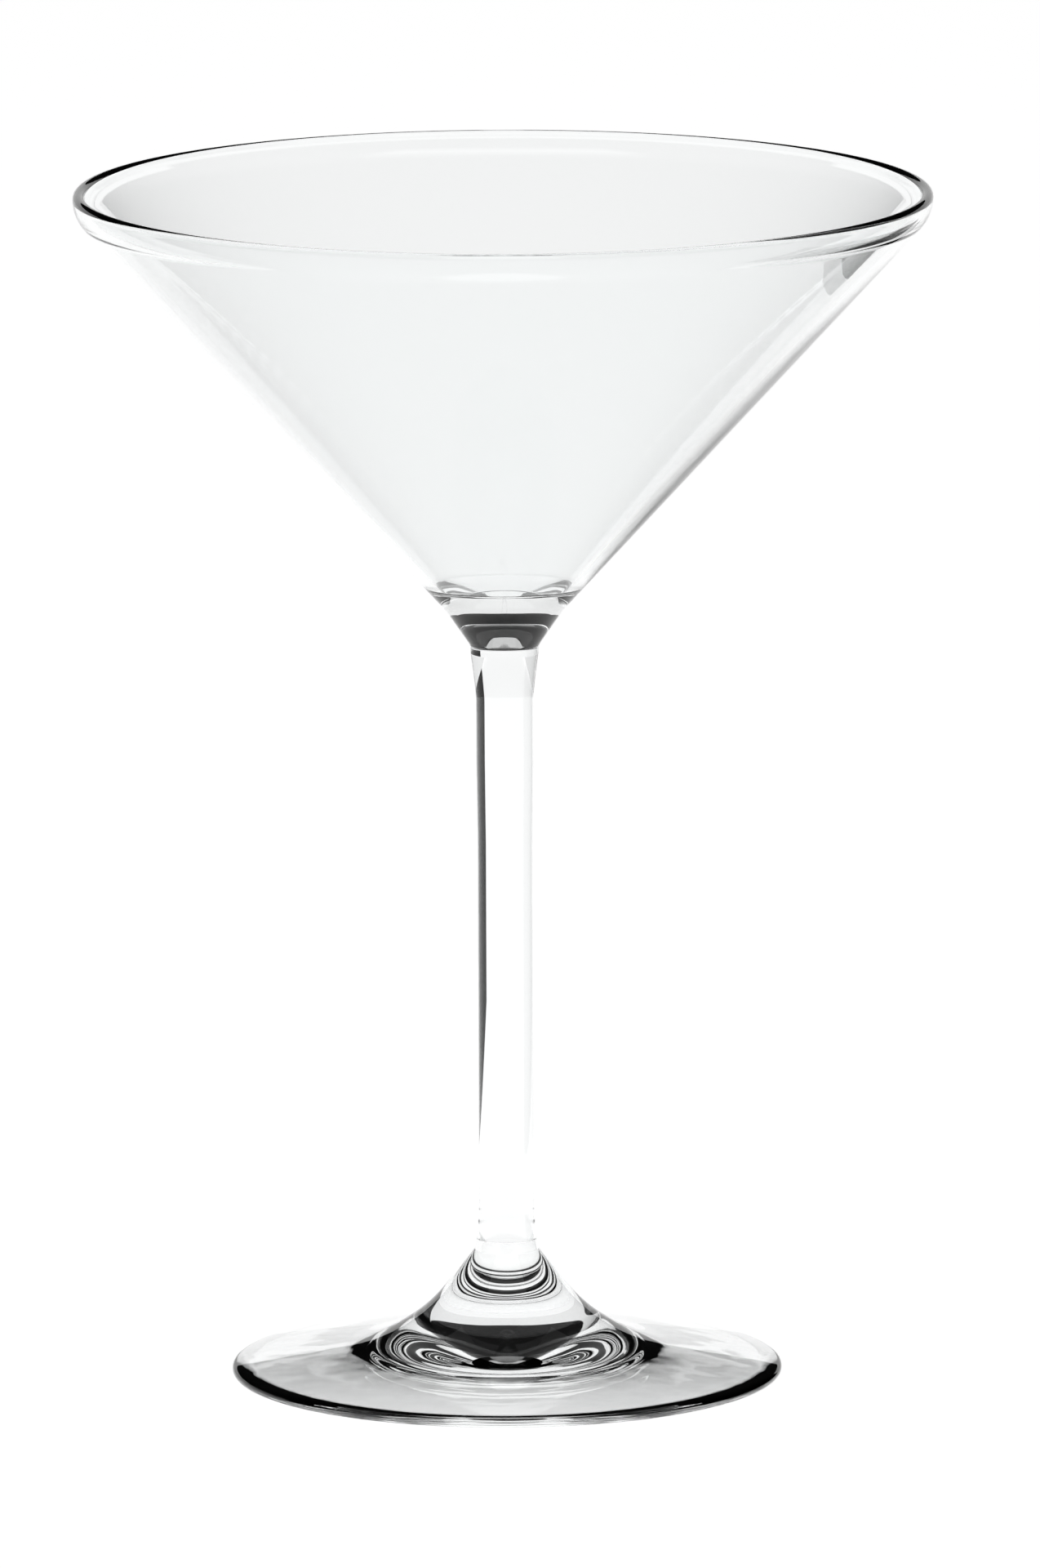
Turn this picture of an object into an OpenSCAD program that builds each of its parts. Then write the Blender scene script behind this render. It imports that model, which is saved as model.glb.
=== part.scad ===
// Cocktail glass with a conical bowl on a tall stem, in clear glass.
// Three pieces stand in line on the +Z axis and are fused end to end:
// the bowl, the solid stem and the foot.
// The origin is the centre of the foot's underside.

/* [Overall] */
// Height from the table to the lip
glass_height = 168; // [150:1:190]
// Outer diameter of the bowl at the rim
rim_diameter = 120; // [110:1:130]
// Height of the fused joint between the foot and the stem
foot_joint_height = 17.7; // [16.5:0.1:20]

/* [Bowl] */
// Angle of the outside wall from the vertical
outer_wall_angle = 42.6; // [42:0.1:43]
// Angle of the inside wall from the vertical, a little steeper so that the wall thins downwards
inner_wall_angle = 42.4; // [42:0.1:42.8]
// Wall thickness at the lip, which is rounded over
lip_wall = 1.7; // [1.4:0.1:2.2]
// Radius of the bend that turns the wall upright at the lip
lip_bend_radius = 5.2; // [4:0.1:6]
// Rounding between the inside wall and the bowl's flat floor
floor_corner_radius = 1.5; // [0.5:0.1:6]
// Radius of that flat floor
floor_radius = 9.0; // [5:0.1:10]
// Angle from the vertical of the solid neck under the well
neck_angle = 34.5; // [30:0.5:37]
// Height of the straight part of the neck
neck_height = 3.2; // [2:0.1:4.5]
// Radius of the blend between the neck and the wall
neck_blend_radius = 22.5; // [15:0.5:30]
// Radius of the small fillet where the neck meets the joint
knee_radius = 1.9; // [0.5:0.1:2.5]
// Height of the straight band between the neck and the joint
joint_band_height = 0.5; // [0.2:0.1:1.5]

/* [Stem] */
// Diameter of the fused joint between the stem and the bowl
bowl_joint_diameter = 9.5; // [8.8:0.1:10]
// Height over which the stem swells into that joint
flare_height = 6.4; // [4:0.1:8]
// Shape of that swell: 1 is a straight taper, and more is a hollow one
flare_power = 1.2; // [1:0.1:2]
// Diameter of the upper stem
upper_stem_diameter = 8.0; // [7.8:0.1:8.4]
// Diameter at the stem's slim middle
slim_stem_diameter = 7.7; // [7:0.1:7.9]
// Where the slim middle ends, as a share of the stem's length
slim_share = 0.68; // [0.55:0.01:0.75]
// Where the upper stem begins, as a share of the stem's length
upper_share = 0.82; // [0.78:0.01:0.9]
// Diameter of the fused joint between the stem and the foot
foot_joint_diameter = 9.0; // [8.6:0.1:9.4]
// Height over which the stem swells into the foot
stem_root_height = 8.8; // [5:0.1:12]
// Shape of that swell: a higher power keeps it closer to the foot
root_power = 2.8; // [2:0.1:4]

/* [Foot] */
// Diameter of the foot
foot_diameter = 77.4; // [74:0.2:82]
// Slope of the foot's collar below the stem, from the horizontal
collar_angle = 52; // [48:1:56]
// Radius where the collar's straight side ends
collar_radius = 8.6; // [7:0.1:10]
// Radius of the hollow sweep between the collar and the disc
sweep_radius = 23; // [14:0.5:25]
// Thickness of the foot's rounded edge
edge_thickness = 1.5; // [1.2:0.1:2]
// Width of the flat ring that the glass stands on
rest_ring_width = 1.5; // [1:0.5:5]
// Depth of the shallow hollow inside that ring
hollow_depth = 3.3; // [2:0.1:3.6]
// Shape of that hollow: 1 is a cone, 2 is a round dish
hollow_power = 2; // [1.5:0.1:2.2]

/* [Hidden] */
$fn = 144;
lip_start = 15;    // degrees past the outside where the lip's rounding begins
clear_glass = [0.90, 0.94, 0.95, 0.45];
bend_steps = 8;    // straight steps in a tight bend
sweep_steps = 14;  // straight steps in a long sweep

rim_radius = rim_diameter / 2;
lip_round = lip_wall / 2;
lip_centre = [rim_radius - lip_bend_radius, glass_height - lip_round];

// Where the lip's bend meets the straight outside and inside walls
outer_wall_top = lip_centre + lip_bend_radius * [cos(outer_wall_angle), -sin(outer_wall_angle)];
inner_wall_top = lip_centre
    + (lip_bend_radius - lip_wall) * [cos(inner_wall_angle), -sin(inner_wall_angle)];

// The inside wall would run on to this point on the axis, but the floor cuts it short
inner_tip_z = inner_wall_top.y - inner_wall_top.x / tan(inner_wall_angle);
corner_rise = (floor_corner_radius + floor_radius * cos(inner_wall_angle)) / sin(inner_wall_angle);
corner_centre = [floor_radius, inner_tip_z + corner_rise];

// The neck runs up from the joint's knee and blends into the outside wall
joint_radius = bowl_joint_diameter / 2;
neck_foot_r = joint_radius + knee_radius * (1 - cos(neck_angle));
neck_top_r = neck_foot_r + neck_height * tan(neck_angle);
wall_foot_r = neck_top_r + neck_blend_radius * (cos(neck_angle) - cos(outer_wall_angle));
wall_foot_z = outer_wall_top.y - (outer_wall_top.x - wall_foot_r) / tan(outer_wall_angle);
neck_top_z = wall_foot_z - neck_blend_radius * (sin(outer_wall_angle) - sin(neck_angle));
knee_z = neck_top_z - neck_height - knee_radius * sin(neck_angle);
blend_centre = [neck_top_r, neck_top_z] + neck_blend_radius * [cos(neck_angle), -sin(neck_angle)];
bowl_joint_height = knee_z - joint_band_height;

// Radii along the stem
upper_r = upper_stem_diameter / 2;
slim_r = slim_stem_diameter / 2;
root_r = foot_joint_diameter / 2;
flare_foot_z = bowl_joint_height - flare_height;
stem_length = bowl_joint_height - foot_joint_height;

// The foot's top: collar, sweep and sloping disc down to the edge
foot_r = foot_diameter / 2;
edge_round = edge_thickness / 2;
collar_foot_z = foot_joint_height - (collar_radius - root_r) * tan(collar_angle);
sweep_centre = [collar_radius, collar_foot_z] + sweep_radius * [sin(collar_angle), cos(collar_angle)];
edge_centre = [foot_r - edge_round, edge_round];
// The disc's slope is the common tangent of the sweep and the edge's rounding
centre_line = sweep_centre - edge_centre;
centre_gap = norm(centre_line);
disc_angle = atan2(centre_line.x, centre_line.y) + acos((sweep_radius + edge_round) / centre_gap);
rest_ring_r = foot_r - edge_round - rest_ring_width;

// Points on an arc, with angles from the +X axis
function arc(centre, radius, start, end, steps) = [
    for (i = [0 : steps])
        let (a = start + (end - start) * i / steps)
            centre + radius * [cos(a), sin(a)]
];

// Conical bowl: solid neck, nearly even wall, rounded lip and flat floor
module bowl() {
    color(clear_glass)
        rotate_extrude()
            polygon(concat(
                [[0, bowl_joint_height], [joint_radius, bowl_joint_height]],
                arc([joint_radius + knee_radius, knee_z], knee_radius,
                    180, 180 - neck_angle, bend_steps),
                arc(blend_centre, neck_blend_radius,
                    180 - neck_angle, 180 - outer_wall_angle, bend_steps),
                arc(lip_centre, lip_bend_radius, -outer_wall_angle, 0, bend_steps),
                arc(lip_centre + [lip_bend_radius - lip_round, 0], lip_round,
                    lip_start, 180 - lip_start, 2 * bend_steps),
                arc(lip_centre, lip_bend_radius - lip_wall, 0, -inner_wall_angle, bend_steps),
                arc(corner_centre, floor_corner_radius, -inner_wall_angle, -90, bend_steps),
                [[0, corner_centre.y - floor_corner_radius]]
            ));
}

// Solid drawn stem, which swells into the joints at both ends
module stem() {
    color(clear_glass)
        rotate_extrude()
            polygon(concat(
                [[0, foot_joint_height]],
                [for (i = [0 : bend_steps])
                    let (t = i / bend_steps)
                        [slim_r + (root_r - slim_r) * pow(1 - t, root_power),
                         foot_joint_height + stem_root_height * t]],
                [[slim_r, foot_joint_height + slim_share * stem_length],
                 [upper_r, foot_joint_height + upper_share * stem_length]],
                [for (i = [0 : bend_steps])
                    let (t = i / bend_steps)
                        [upper_r + (joint_radius - upper_r) * pow(t, flare_power),
                         flare_foot_z + flare_height * t]],
                [[0, bowl_joint_height]]
            ));
}

// Spun foot: steep collar, sloping disc, rounded edge and a hollow underside
module foot() {
    color(clear_glass)
        rotate_extrude()
            polygon(concat(
                [for (i = [0 : sweep_steps])
                    let (t = i / sweep_steps)
                        [rest_ring_r * t, hollow_depth * (1 - pow(t, hollow_power))]],
                arc(edge_centre, edge_round, -90, 90 - disc_angle, bend_steps),
                arc(sweep_centre, sweep_radius, 270 - disc_angle, 270 - collar_angle, sweep_steps),
                [[root_r, foot_joint_height], [0, foot_joint_height]]
            ));
}

bowl();
stem();
foot();
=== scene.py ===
# Martini glass: bowl, stem and foot of clear glass, each turned from its own outline.
from math import acos, atan2, cos, degrees, hypot, pi, radians, sin, tan

import bpy
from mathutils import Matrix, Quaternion, Vector


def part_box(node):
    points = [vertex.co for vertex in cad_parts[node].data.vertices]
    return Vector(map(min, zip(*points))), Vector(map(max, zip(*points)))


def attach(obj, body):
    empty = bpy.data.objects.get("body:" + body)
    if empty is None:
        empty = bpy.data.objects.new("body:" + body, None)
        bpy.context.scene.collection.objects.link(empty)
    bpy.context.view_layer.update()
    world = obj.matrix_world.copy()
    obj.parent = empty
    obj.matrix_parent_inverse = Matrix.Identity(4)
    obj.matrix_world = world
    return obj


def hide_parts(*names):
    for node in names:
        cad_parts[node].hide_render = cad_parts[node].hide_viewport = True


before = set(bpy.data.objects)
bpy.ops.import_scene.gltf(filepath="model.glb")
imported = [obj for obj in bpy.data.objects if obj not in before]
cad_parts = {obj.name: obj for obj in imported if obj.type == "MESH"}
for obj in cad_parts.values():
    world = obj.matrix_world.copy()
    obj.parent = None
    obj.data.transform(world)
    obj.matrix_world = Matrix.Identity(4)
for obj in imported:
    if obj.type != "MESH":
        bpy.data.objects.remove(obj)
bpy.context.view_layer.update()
scene = bpy.context.scene
mm = 0.001  # metres in a millimetre


def linearColour(hexCode, alpha=1.0):
    # sRGB hex to the linear values that shaders want
    channels = [int(hexCode[i:i + 2], 16) / 255 for i in (1, 3, 5)]
    return [c / 12.92 if c < 0.04045 else ((c + 0.055) / 1.055) ** 2.4 for c in channels] + [alpha]


def addNode(tree, kind, settings=None, inputs=None):
    # one node with its settings; an input is a plain value or the socket that feeds it
    node = tree.nodes.new(kind)
    for name, value in (settings or {}).items():
        setattr(node, name, value)
    for name, value in (inputs or {}).items():
        if isinstance(value, bpy.types.NodeSocket):
            tree.links.new(value, node.inputs[name])
        else:
            node.inputs[name].default_value = value
    return node


def emptyMaterial(name):
    material = bpy.data.materials.new(name)
    material.use_nodes = True
    material.node_tree.nodes.clear()
    return material


# Camera: a long lens, looking down a little
cameraView = {
    "distance": 2.6,    # metres from the glass's axis
    "height": 0.552,    # metres above the floor
    "aimAcross": 2.1,   # mm, where the camera aims
    "aimHeight": 84.0,
    "lens": 433,        # mm
    "sensor": 36,
    "clip": (0.1, 200),  # metres, nearest and farthest
    "roll": -0.2,       # degrees
}


def makeCamera(view):
    data = bpy.data.cameras.new("camera")
    camera = bpy.data.objects.new("camera", data)
    scene.collection.objects.link(camera)
    data.sensor_width = view["sensor"]
    data.lens = view["lens"]
    data.clip_start, data.clip_end = view["clip"]
    camera.location = (0, -view["distance"], view["height"])
    aim = Vector((view["aimAcross"] * mm, 0, view["aimHeight"] * mm))
    turn = (aim - camera.location).to_track_quat("-Z", "Y")
    camera.rotation_mode = "QUATERNION"
    camera.rotation_quaternion = turn @ Quaternion((0, 0, 1), radians(view["roll"]))
    scene.camera = camera
    print("camera placed")


# Studio: pale floor in a dim room, softboxes overhead and a black card at the side
studio = {
    "floorRadius": 30.0,        # metres
    "floorSides": 96,
    "floorColour": "#F2F2F2",
    "floorGlow": 0.94,
    "floorDrop": 0.02,          # mm below the rest face, so that the two never share a plane
    "roomLevel": 0.012,         # what the glass sees above the floor
    "frontSoftbox": {"level": 0.6, "size": (1.8, 0.9), "place": (0, -0.98, 1.6)},   # metres
    "backSoftbox": {"level": 0.27, "size": (1.6, 0.5), "place": (0, 0.68, 1.6)},
    "sideCard": {"colour": "#050505", "length": 0.26, "height": 0.1, "place": (0.16, 0.105)},
    "wallLevel": 0.9,           # low pale wall far behind
    "wallHeight": 6.5,
    "wallSpread": 75,           # degrees to either side
    "wallPanel": 15,            # degrees that one flat panel covers
}


def addStagePiece(name, corners, material):
    mesh = bpy.data.meshes.new(name)
    mesh.from_pydata(corners, [], [list(range(len(corners)))])
    mesh.materials.append(material)
    piece = bpy.data.objects.new(name, mesh)
    scene.collection.objects.link(piece)
    return piece


def makeRoom(level):
    world = bpy.data.worlds.new("room")
    scene.world = world
    world.use_nodes = True
    tree = world.node_tree
    tree.nodes.clear()
    path = addNode(tree, "ShaderNodeLightPath")
    backdrop = addNode(tree, "ShaderNodeBackground", inputs={"Strength": 1.0, "Color": (1, 1, 1, 1)})
    room = addNode(tree, "ShaderNodeBackground", inputs={"Strength": level, "Color": (1, 1, 1, 1)})
    mix = addNode(tree, "ShaderNodeMixShader", inputs={
        0: path.outputs["Is Camera Ray"], 1: room.outputs[0], 2: backdrop.outputs[0]})
    addNode(tree, "ShaderNodeOutputWorld", inputs={"Surface": mix.outputs[0]})


def glowing(name, level, hexCode="#FFFFFF"):
    # an even glow, with nothing of the surface to be seen
    material = emptyMaterial(name)
    shader = addNode(material.node_tree, "ShaderNodeEmission", inputs={
        "Color": linearColour(hexCode), "Strength": level})
    addNode(material.node_tree, "ShaderNodeOutputMaterial", inputs={"Surface": shader.outputs[0]})
    return material


def makeSoftbox(name, s):
    cloth = glowing(name + "Cloth", s["level"])
    x, y, z = s["place"]
    across, back = s["size"][0] / 2, s["size"][1] / 2
    box = addStagePiece(name, [
        (x - across, y - back, z), (x - across, y + back, z),
        (x + across, y + back, z), (x + across, y - back, z)], cloth)
    box.visible_camera = False


def makeCard(name, s):
    # a card on edge, which the glass sees but which throws no shade
    board = glowing(name + "Board", 1.0, s["colour"])
    x, y = s["place"]
    half = s["length"] / 2
    card = addStagePiece(name, [
        (x, y + half, 0), (x, y - half, 0),
        (x, y - half, s["height"]), (x, y + half, s["height"])], board)
    card.visible_camera = False
    card.visible_diffuse = False
    card.visible_shadow = False


def makeStudio(s):
    makeRoom(s["roomLevel"])
    paper = emptyMaterial("palePaper")
    shader = addNode(paper.node_tree, "ShaderNodeBsdfPrincipled", inputs={
        "Base Color": linearColour(s["floorColour"]), "Roughness": 0.8,
        "Emission Color": (1, 1, 1, 1), "Emission Strength": s["floorGlow"]})
    addNode(paper.node_tree, "ShaderNodeOutputMaterial", inputs={"Surface": shader.outputs[0]})
    turns = [2 * pi * i / s["floorSides"] for i in range(s["floorSides"])]
    radius = s["floorRadius"]
    drop = s["floorDrop"] * mm
    addStagePiece("floor", [(radius * cos(a), radius * sin(a), -drop) for a in turns], paper)
    wall = glowing("paleWall", s["wallLevel"])
    step = radians(s["wallPanel"])
    for i in range(round(2 * s["wallSpread"] / s["wallPanel"])):
        start = radians(90 - s["wallSpread"]) + i * step
        foot = [(radius * cos(a), radius * sin(a)) for a in (start, start + step)]
        heights = [(foot[0], 0), (foot[1], 0), (foot[1], s["wallHeight"]), (foot[0], s["wallHeight"])]
        panel = addStagePiece("wall%d" % i, [(x, y, z) for (x, y), z in heights], wall)
        panel.visible_camera = False
    makeSoftbox("frontSoftbox", s["frontSoftbox"])
    makeSoftbox("backSoftbox", s["backSoftbox"])
    makeCard("sideCard", s["sideCard"])
    print("studio lit")


# How the picture is read out: plain tones, and enough bounces for glass in glass
rendering = {"bounces": 24, "glossyBounces": 8, "gamma": 0.85}


def setRendering(r):
    scene.view_settings.view_transform = "Standard"
    scene.view_settings.gamma = r["gamma"]
    scene.cycles.max_bounces = r["bounces"]
    scene.cycles.transmission_bounces = r["bounces"]
    scene.cycles.glossy_bounces = r["glossyBounces"]


glassIor = 1.52          # soda-lime glass
hazeBand = (0.3, 0.7)    # part of the wave pattern over which the haze rises


def clearGlass(name, g):
    # Soda-lime glass, fire-polished: colourless, with faint waves from the hot working
    # that bend what is seen through it, and a haze that is barely there
    material = emptyMaterial(name)
    tree = material.node_tree
    place = addNode(tree, "ShaderNodeTexCoord").outputs["Object"]
    stretched = addNode(tree, "ShaderNodeMapping", inputs={
        "Vector": place, "Scale": g["stretch"]}).outputs[0]
    wave = addNode(tree, "ShaderNodeTexNoise", inputs={
        "Vector": stretched, "Scale": 1 / (g["waveSize"] * mm), "Detail": 1.0}).outputs["Fac"]
    haze = addNode(tree, "ShaderNodeMapRange", inputs={
        "Value": wave, "From Min": hazeBand[0], "From Max": hazeBand[1],
        "To Min": 0.0, "To Max": g["haze"]}).outputs[0]
    bump = addNode(tree, "ShaderNodeBump", inputs={
        "Height": wave, "Strength": 1.0, "Distance": g["waveDepth"] * mm}).outputs[0]
    shader = addNode(tree, "ShaderNodeBsdfPrincipled", inputs={
        "Base Color": linearColour(g["tint"]), "IOR": glassIor, "Transmission Weight": 1.0,
        "Roughness": haze, "Normal": bump})
    addNode(tree, "ShaderNodeOutputMaterial", inputs={"Surface": shader.outputs[0]})
    return material


def fusedGlass():
    # Where two pieces are fused, the glass runs on and no face is seen
    material = emptyMaterial("fusedGlass")
    shader = addNode(material.node_tree, "ShaderNodeBsdfTransparent")
    addNode(material.node_tree, "ShaderNodeOutputMaterial", inputs={"Surface": shader.outputs[0]})
    return material


def arc(centre, radius, start, end, steps):
    # points on an arc, with angles in degrees from the +X axis
    angles = [radians(start + (end - start) * i / steps) for i in range(steps + 1)]
    return [(centre[0] + radius * cos(a), centre[1] + radius * sin(a)) for a in angles]


cornerAngle = 25        # degrees, above which an edge is a true corner
weldGap = 0.0001        # mm, within which the lathe's points are joined
jointGap = 0.001        # mm, within which a point counts as on a joint


def turningTree():
    # Geometry Nodes lathe: turns an outline of edges about Z into a closed solid
    tree = bpy.data.node_groups.new("turning", "GeometryNodeTree")
    face = tree.interface
    face.new_socket("Geometry", in_out="INPUT", socket_type="NodeSocketGeometry")
    face.new_socket("Segments", in_out="INPUT", socket_type="NodeSocketInt")
    face.new_socket("Ripple Depth", in_out="INPUT", socket_type="NodeSocketFloat")
    face.new_socket("Ripple Size", in_out="INPUT", socket_type="NodeSocketFloat")
    face.new_socket("Glass", in_out="INPUT", socket_type="NodeSocketMaterial")
    face.new_socket("Fused Glass", in_out="INPUT", socket_type="NodeSocketMaterial")
    face.new_socket("Geometry", in_out="OUTPUT", socket_type="NodeSocketGeometry")
    given = addNode(tree, "NodeGroupInput").outputs

    def maths(operation, first, second):
        return addNode(tree, "ShaderNodeMath", {"operation": operation}, {0: first, 1: second}).outputs[0]

    def vectorMaths(operation, inputs):
        return addNode(tree, "ShaderNodeVectorMath", {"operation": operation}, inputs).outputs[0]

    # one grid column for each step of the turn, one row for each point of the outline
    size = addNode(tree, "GeometryNodeAttributeDomainSize", inputs={"Geometry": given["Geometry"]})
    count = size.outputs["Point Count"]
    grid = addNode(tree, "GeometryNodeMeshGrid", inputs={
        "Vertices X": maths("ADD", given["Segments"], 1.0), "Vertices Y": count}).outputs["Mesh"]
    index = addNode(tree, "GeometryNodeInputIndex").outputs[0]
    row = addNode(tree, "FunctionNodeIntegerMath", {"operation": "MODULO"}, {0: index, 1: count}).outputs[0]
    column = addNode(tree, "FunctionNodeIntegerMath", {"operation": "DIVIDE_FLOOR"},
                     {0: index, 1: count}).outputs[0]
    position = addNode(tree, "GeometryNodeInputPosition").outputs[0]
    outline = addNode(tree, "GeometryNodeSampleIndex", {"data_type": "FLOAT_VECTOR"},
                      {"Geometry": given["Geometry"], "Value": position, "Index": row}).outputs["Value"]
    angle = maths("MULTIPLY", maths("DIVIDE", column, given["Segments"]), 2 * pi)
    turned = addNode(tree, "ShaderNodeVectorRotate", {"rotation_type": "Z_AXIS"},
                     {"Vector": outline, "Angle": angle}).outputs[0]

    # faint unevenness of hand-worked glass, straight out from the axis
    noise = addNode(tree, "ShaderNodeTexNoise", inputs={
        "Vector": turned, "Scale": maths("DIVIDE", 1.0, given["Ripple Size"]),
        "Detail": 1.0}).outputs["Fac"]
    swell = maths("MULTIPLY", maths("SUBTRACT", noise, 0.5), given["Ripple Depth"])
    outward = vectorMaths("NORMALIZE", {0: vectorMaths("MULTIPLY", {0: turned, 1: (1, 1, 0)})})
    push = vectorMaths("SCALE", {0: outward, "Scale": swell})
    placed = addNode(tree, "GeometryNodeSetPosition", inputs={
        "Geometry": grid, "Position": vectorMaths("ADD", {0: turned, 1: push})}).outputs[0]

    # the outline says which points lie on a fused joint
    joint = addNode(tree, "GeometryNodeInputNamedAttribute", {"data_type": "BOOLEAN"}, {"Name": "fused"})
    fused = addNode(tree, "GeometryNodeSampleIndex", {"data_type": "BOOLEAN"},
                    {"Geometry": given["Geometry"], "Value": joint.outputs[0],
                     "Index": row}).outputs["Value"]
    marked = addNode(tree, "GeometryNodeStoreNamedAttribute", {"data_type": "BOOLEAN"},
                     {"Geometry": placed, "Name": "fused", "Value": fused}).outputs[0]
    closed = addNode(tree, "GeometryNodeMergeByDistance",
                     inputs={"Geometry": marked, "Distance": weldGap * mm}).outputs[0]

    # smooth everywhere but at true corners
    smooth = addNode(tree, "GeometryNodeSetShadeSmooth", {"domain": "FACE"},
                     {"Geometry": closed}).outputs[0]
    bend = addNode(tree, "GeometryNodeInputMeshEdgeAngle").outputs["Unsigned Angle"]
    corner = addNode(tree, "FunctionNodeCompare", {"operation": "GREATER_THAN"},
                     {0: bend, 1: radians(cornerAngle)}).outputs[0]
    creased = addNode(tree, "GeometryNodeSetShadeSmooth", {"domain": "EDGE"},
                      {"Geometry": smooth, "Selection": corner, "Shade Smooth": False}).outputs[0]
    real = addNode(tree, "GeometryNodeRealizeInstances", inputs={"Geometry": creased}).outputs[0]
    glass = addNode(tree, "GeometryNodeSetMaterial",
                    inputs={"Geometry": real, "Material": given["Glass"]}).outputs[0]
    done = addNode(tree, "GeometryNodeSetMaterial", inputs={
        "Geometry": glass, "Selection": joint.outputs[0], "Material": given["Fused Glass"]}).outputs[0]
    addNode(tree, "NodeGroupOutput", inputs={"Geometry": done})
    return tree


def turnPiece(name, outline, jointHeights, shape, glass, fused, tree):
    # outline: (radius, height) in mm, from the axis round to the axis
    mesh = bpy.data.meshes.new(name + "Outline")
    edges = [(i, i + 1) for i in range(len(outline) - 1)]
    mesh.from_pydata([(r * mm, 0, z * mm) for r, z in outline], edges, [])
    ends = [any(abs(z - height) < jointGap for height in jointHeights) for r, z in outline]
    mesh.attributes.new("fused", "BOOLEAN", "POINT").data.foreach_set("value", ends)
    piece = bpy.data.objects.new(name, mesh)
    scene.collection.objects.link(piece)
    modifier = piece.modifiers.new("turning", "NODES")
    modifier.node_group = tree
    settings = {"Segments": shape["segments"], "Ripple Depth": shape["rippleDepth"] * mm,
                "Ripple Size": shape["rippleSize"] * mm, "Glass": glass, "Fused Glass": fused}
    for item in tree.interface.items_tree:
        if item.in_out == "INPUT" and item.name in settings:
            modifier[item.identifier] = settings[item.name]
    graph = bpy.context.evaluated_depsgraph_get()
    solid = bpy.data.meshes.new_from_object(piece.evaluated_get(graph))
    piece.modifiers.clear()
    piece.data = solid
    solid.name = name
    bpy.data.meshes.remove(mesh)
    while solid.materials and solid.materials[0] is None:
        solid.materials.pop(index=0)
    print(name, "turned:", len(solid.polygons), "faces")
    return piece


# Heights and radii in mm, from the frame
bowlLow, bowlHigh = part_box("bowl")
footLow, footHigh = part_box("foot")
rimHeight = bowlHigh[2] / mm
rimRadius = bowlHigh[0] / mm
bowlJoint = bowlLow[2] / mm
footJoint = footHigh[2] / mm
footRadius = footHigh[0] / mm

bowlShape = {
    "outerAngle": 42.6,     # degrees from the vertical
    "innerAngle": 42.4,
    "lipWall": 1.7,
    "lipBend": 5.2,         # bend that turns the wall upright
    "cornerRadius": 1.5,    # rounding between the inside wall and the flat floor
    "floorRadius": 9.0,
    "neckAngle": 34.5,
    "neckHeight": 3.2,
    "neckBlend": 22.5,      # blend between the neck and the wall
    "kneeRadius": 1.9,      # fillet above the joint
    "jointRadius": 4.75,
    "lipStart": 10,         # degrees past the outside where the lip's rounding begins
    "kneeSteps": 10,
    "blendSteps": 12,
    "outerBendSteps": 16,
    "lipSteps": 20,
    "innerBendSteps": 12,
    "cornerSteps": 16,
    "segments": 256,
    "rippleDepth": 0.03,
    "rippleSize": 12,
}


def bowlOutline(s):
    lipRound = s["lipWall"] / 2
    outer, inner, neck = s["outerAngle"], s["innerAngle"], s["neckAngle"]
    lip = (rimRadius - s["lipBend"], rimHeight - lipRound)
    outerTop = (lip[0] + s["lipBend"] * cos(radians(outer)), lip[1] - s["lipBend"] * sin(radians(outer)))
    inBend = s["lipBend"] - s["lipWall"]
    innerTop = (lip[0] + inBend * cos(radians(inner)), lip[1] - inBend * sin(radians(inner)))
    tip = innerTop[1] - innerTop[0] / tan(radians(inner))
    rise = (s["cornerRadius"] + s["floorRadius"] * cos(radians(inner))) / sin(radians(inner))
    corner = (s["floorRadius"], tip + rise)
    neckFoot = s["jointRadius"] + s["kneeRadius"] * (1 - cos(radians(neck)))
    neckTop = neckFoot + s["neckHeight"] * tan(radians(neck))
    wallFoot = neckTop + s["neckBlend"] * (cos(radians(neck)) - cos(radians(outer)))
    wallFootHeight = outerTop[1] - (outerTop[0] - wallFoot) / tan(radians(outer))
    neckTopHeight = wallFootHeight - s["neckBlend"] * (sin(radians(outer)) - sin(radians(neck)))
    knee = neckTopHeight - s["neckHeight"] - s["kneeRadius"] * sin(radians(neck))
    blend = (neckTop + s["neckBlend"] * cos(radians(neck)),
             neckTopHeight - s["neckBlend"] * sin(radians(neck)))
    points = [(0, bowlJoint), (s["jointRadius"], bowlJoint)]
    kneeCentre = (s["jointRadius"] + s["kneeRadius"], knee)
    lipCentre = (rimRadius - lipRound, lip[1])
    points += arc(kneeCentre, s["kneeRadius"], 180, 180 - neck, s["kneeSteps"])
    points += arc(blend, s["neckBlend"], 180 - neck, 180 - outer, s["blendSteps"])
    points += arc(lip, s["lipBend"], -outer, 0, s["outerBendSteps"])
    points += arc(lipCentre, lipRound, s["lipStart"], 180 - s["lipStart"], s["lipSteps"])
    points += arc(lip, inBend, 0, -inner, s["innerBendSteps"])
    points += arc(corner, s["cornerRadius"], -inner, -90, s["cornerSteps"])
    points += [(0, corner[1] - s["cornerRadius"])]
    return points


stemShape = {
    "slimRadius": 3.85,
    "upperRadius": 4.0,
    "jointRadius": 4.75,
    "rootRadius": 4.5,
    "rootHeight": 8.8,      # swell into the foot
    "rootPower": 2.8,
    "flareHeight": 6.4,     # swell into the bowl's joint
    "flarePower": 1.2,
    "slimShare": 0.68,      # where the slim middle ends, of the stem's length
    "upperShare": 0.82,
    "swellSteps": 16,       # steps in each swell
    "segments": 192,
    "rippleDepth": 0.02,
    "rippleSize": 9,
}


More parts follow.
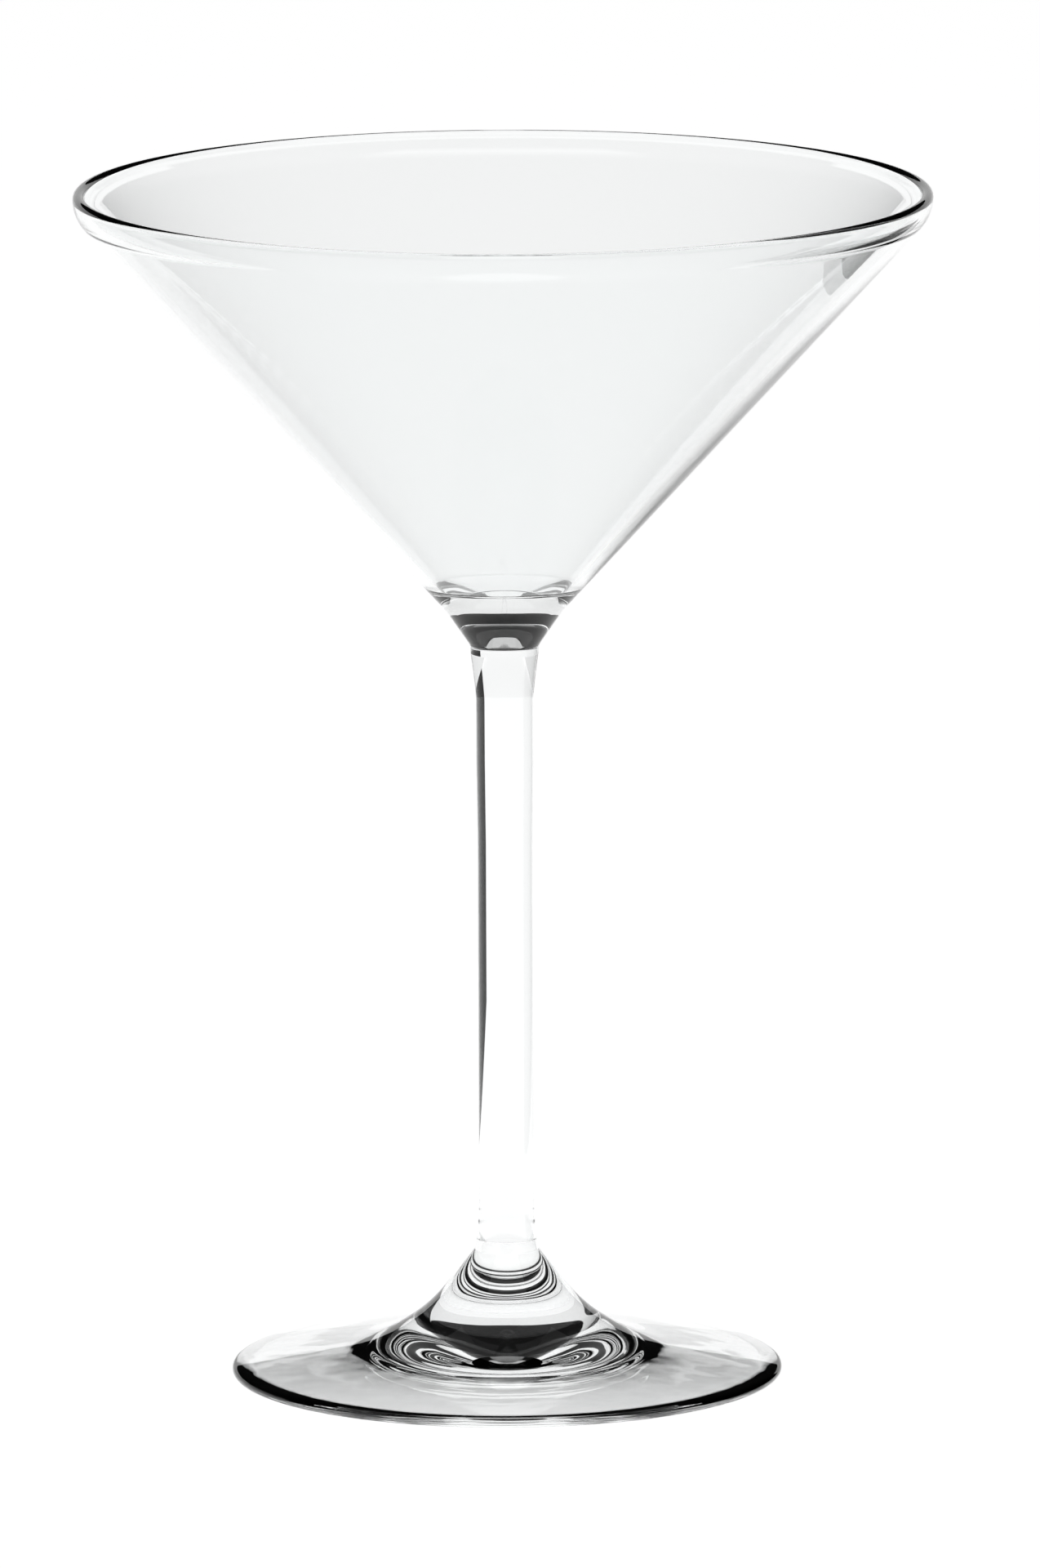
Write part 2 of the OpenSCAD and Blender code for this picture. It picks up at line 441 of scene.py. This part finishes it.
def stemOutline(s):
    length = bowlJoint - footJoint
    swell = s["rootRadius"] - s["slimRadius"]
    flare = s["jointRadius"] - s["upperRadius"]
    steps = s["swellSteps"]
    points = [(0, footJoint)]
    for i in range(steps + 1):
        share = i / steps
        points += [(s["slimRadius"] + swell * (1 - share) ** s["rootPower"],
                    footJoint + s["rootHeight"] * share)]
    points += [(s["slimRadius"], footJoint + s["slimShare"] * length),
               (s["upperRadius"], footJoint + s["upperShare"] * length)]
    for i in range(steps + 1):
        share = i / steps
        points += [(s["upperRadius"] + flare * share ** s["flarePower"],
                    bowlJoint - s["flareHeight"] * (1 - share))]
    points += [(0, bowlJoint)]
    return points


footShape = {
    "edgeThickness": 1.5,
    "collarAngle": 52,      # degrees from the horizontal, below the stem
    "collarRadius": 8.6,
    "sweepRadius": 23,      # hollow sweep between the collar and the disc
    "rootRadius": 4.5,
    "restRing": 1.5,        # width of the flat ring that it stands on
    "hollowDepth": 3.3,
    "hollowPower": 2,
    "hollowSteps": 32,
    "edgeSteps": 20,
    "sweepSteps": 32,
    "segments": 256,
    "rippleDepth": 0.03,
    "rippleSize": 12,
}


def footOutline(s):
    collar = radians(s["collarAngle"])
    edge = s["edgeThickness"] / 2
    collarFoot = footJoint - (s["collarRadius"] - s["rootRadius"]) * tan(collar)
    sweep = (s["collarRadius"] + s["sweepRadius"] * sin(collar), collarFoot + s["sweepRadius"] * cos(collar))
    edgeCentre = (footRadius - edge, edge)
    # the disc's slope is the common tangent of the sweep and the edge's rounding
    across, up = sweep[0] - edgeCentre[0], sweep[1] - edgeCentre[1]
    disc = degrees(atan2(across, up) + acos((s["sweepRadius"] + edge) / hypot(across, up)))
    ring = footRadius - edge - s["restRing"]
    steps = s["hollowSteps"]
    points = [(ring * i / steps, s["hollowDepth"] * (1 - (i / steps) ** s["hollowPower"]))
              for i in range(steps + 1)]
    points += arc(edgeCentre, edge, -90, 90 - disc, s["edgeSteps"])
    points += arc(sweep, s["sweepRadius"], 270 - disc, 270 - s["collarAngle"], s["sweepSteps"])
    points += [(s["rootRadius"], footJoint), (0, footJoint)]
    return points


# One finish for each piece: sizes in mm; a stretch below 1 draws the pattern out along that axis
bowlFinish = {"tint": "#FDFEFE", "haze": 0.004, "waveSize": 9, "waveDepth": 0.004, "stretch": (1, 1, 0.6)}
stemFinish = {
    "tint": "#FDFEFE", "haze": 0.004, "waveSize": 3, "waveDepth": 0.001, "stretch": (1, 1, 0.06)}
footFinish = {"tint": "#FCFDFD", "haze": 0.03, "waveSize": 6, "waveDepth": 0.02, "stretch": (1, 1, 1)}

makeCamera(cameraView)
makeStudio(studio)
setRendering(rendering)
fused = fusedGlass()
tree = turningTree()
pieces = [
    ("bowl", bowlOutline(bowlShape), [bowlJoint], bowlShape, bowlFinish),
    ("stem", stemOutline(stemShape), [bowlJoint, footJoint], stemShape, stemFinish),
    ("foot", footOutline(footShape), [footJoint], footShape, footFinish),
]
for node, outline, joints, shape, finish in pieces:
    glass = clearGlass(node + "ClearGlass", finish)
    piece = turnPiece(node + "Glass", outline, joints, shape, glass, fused, tree)
    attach(piece, "root")
    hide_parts(node)
